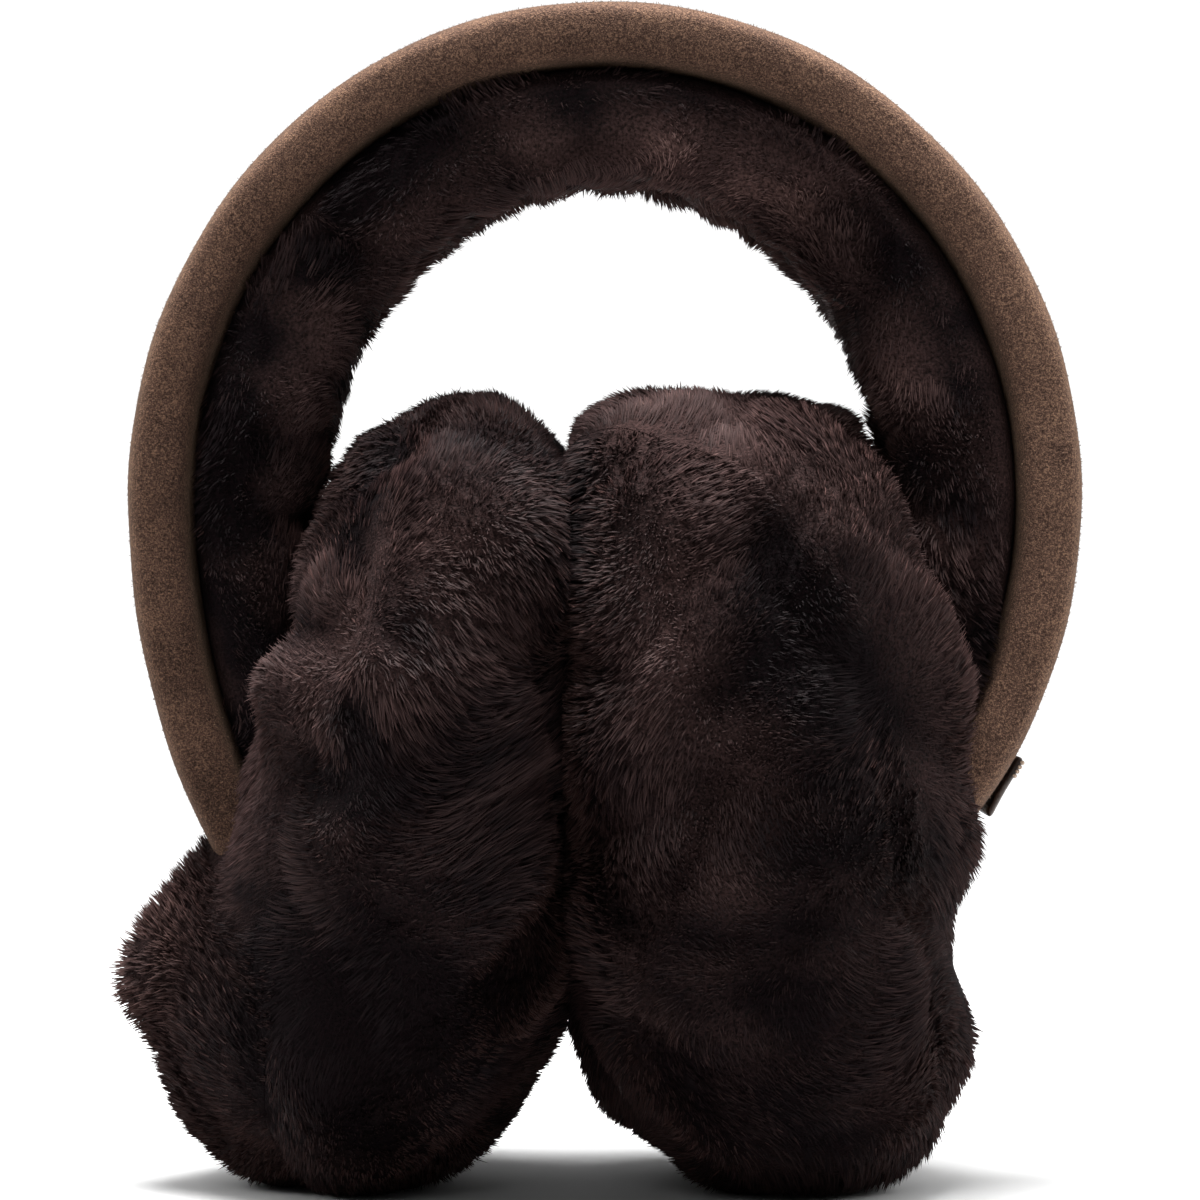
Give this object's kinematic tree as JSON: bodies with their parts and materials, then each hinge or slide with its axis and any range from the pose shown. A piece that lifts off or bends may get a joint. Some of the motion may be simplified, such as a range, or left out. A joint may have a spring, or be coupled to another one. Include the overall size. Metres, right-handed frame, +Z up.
{
  "type": "fur earmuffs",
  "caption": "Shearling earmuffs: a padded suede headband lined with fur joins two deep round fur ear pads, standing pad to pad.",
  "frame": {"origin": "middle of the footprint on the surface that the ear pads stand on", "axes": "+Z up from the ear pads to the top of the headband, +X from the left pad to the right pad as the picture shows them, -Y towards the viewer of the picture"},
  "size_m": [0.1627, 0.1248, 0.2007],
  "materials": {
    "suede": "brown brushed suede with a short nap, matt",
    "lining_fur": "dark chocolate shearling, clipped wool pile",
    "pad_fur": "dark chocolate shearling, deep wool pile in clumps",
    "tab_leather": "dark brown smooth leather, bare"
  },
  "bodies": {
    "root": {"band_cover": "suede", "band_fur": "lining_fur", "pad_face_left": "pad_fur", "pad_back_left": "pad_fur", "pad_face_right": "pad_fur", "pad_back_right": "pad_fur", "leather_tab": "tab_leather"}
  },
  "joints": []
}
